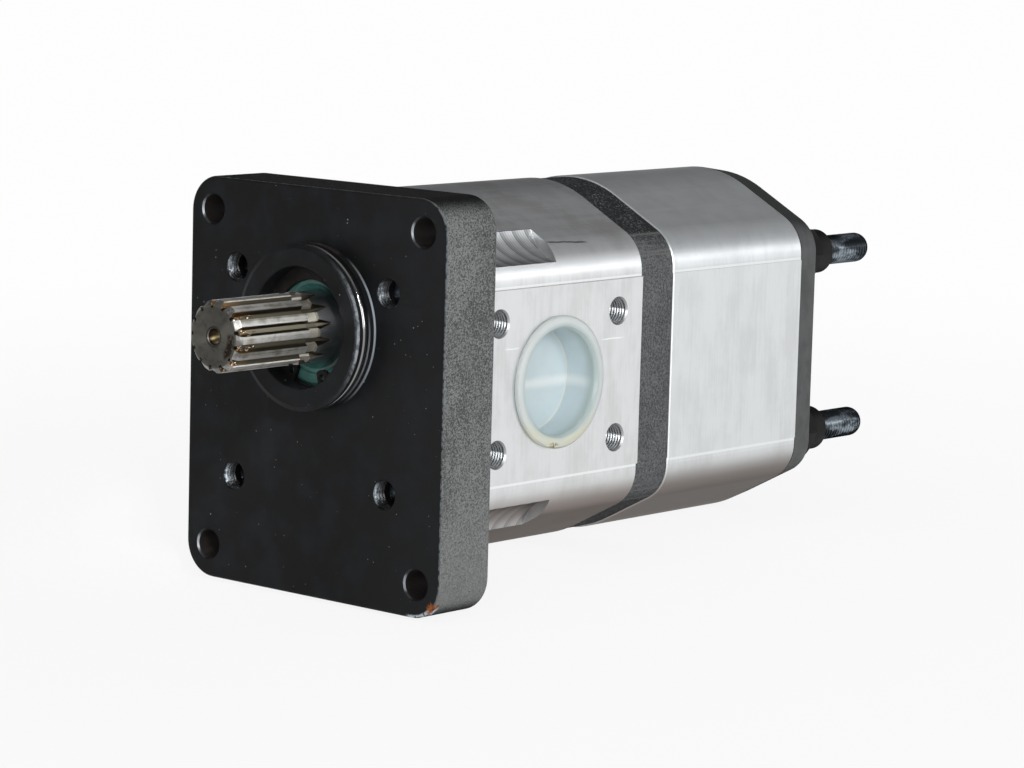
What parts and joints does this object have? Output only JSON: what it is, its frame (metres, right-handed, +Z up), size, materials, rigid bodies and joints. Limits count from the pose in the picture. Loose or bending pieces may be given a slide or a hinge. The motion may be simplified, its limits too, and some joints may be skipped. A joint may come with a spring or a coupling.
{
  "type": "hydraulic gear pump",
  "caption": "Tandem external gear pump with a splined shaft, a rectangular pilot flange, aluminium bodies and long tie bolts.",
  "frame": {"origin": "on the drive shaft's axis, in the mounting flange's front face", "axes": "+Y along the shaft into the pump, +X towards the suction port, +Z up, from the driven gears to the drive gears"},
  "size_m": [0.107, 0.2794, 0.1255],
  "materials": {
    "black_coated_iron": "satin black coating",
    "body_aluminium": "extruded, brushed on the machined faces",
    "grey_cover_paint": "smooth dark grey paint",
    "shaft_steel": "ground, lightly oiled",
    "gear_steel": "ground",
    "blackened_steel": "black oxide",
    "spring_steel": "bright wire",
    "block_aluminium": "machined",
    "bearing_bronze": "sintered bronze",
    "teal_rubber": "satin, oily",
    "black_rubber": "glossy, oiled",
    "white_backup_plastic": "plain",
    "milky_plastic": "translucent, milky"
  },
  "bodies": {
    "housing": {"mounting_flange": "black_coated_iron", "pilot_o_ring": "black_rubber", "shaft_seal": "teal_rubber", "seal_garter_spring": "spring_steel", "seal_retaining_ring": "blackened_steel", "front_body": "body_aluminium", "intermediate_plate": "black_coated_iron", "rear_body": "body_aluminium", "rear_cover": "grey_cover_paint", "front_section_front_block": "block_aluminium", "front_section_rear_block": "block_aluminium", "rear_section_front_block": "block_aluminium", "rear_section_rear_block": "block_aluminium", "bearing_sleeves": "bearing_bronze", "pressure_seals": "black_rubber", "pressure_seal_backups": "white_backup_plastic", "body_seals": "black_rubber", "tie_bolts": "blackened_steel", "tie_bolt_nuts": "grey_cover_paint", "tie_bolt_washers": "grey_cover_paint", "dowel_pins": "gear_steel", "suction_port_plug": "milky_plastic", "front_pressure_port_plug": "milky_plastic", "rear_pressure_port_plug": "milky_plastic"},
    "drive_line": {"drive_shaft": "shaft_steel", "shaft_coupling": "gear_steel", "rear_drive_gear": "gear_steel"},
    "front_idler": {"front_driven_gear": "gear_steel"},
    "rear_idler": {"rear_driven_gear": "gear_steel"}
  },
  "joints": [
    {"name": "drive_line_spin", "type": "hinge", "parent": "housing", "child": "drive_line", "pos_m": [0, 0, 0], "axis": [0, 1, 0], "continuous": true},
    {"name": "front_idler_spin", "type": "hinge", "parent": "housing", "child": "front_idler", "pos_m": [0, 0.06255, -0.035], "axis": [0, 1, 0], "continuous": true},
    {"name": "rear_idler_spin", "type": "hinge", "parent": "housing", "child": "rear_idler", "pos_m": [0, 0.1522, -0.035], "axis": [0, 1, 0], "continuous": true}
  ],
  "couplings": [
    {"joint": "front_idler_spin", "follows": "drive_line_spin", "ratio": -1},
    {"joint": "rear_idler_spin", "follows": "drive_line_spin", "ratio": -1}
  ]
}
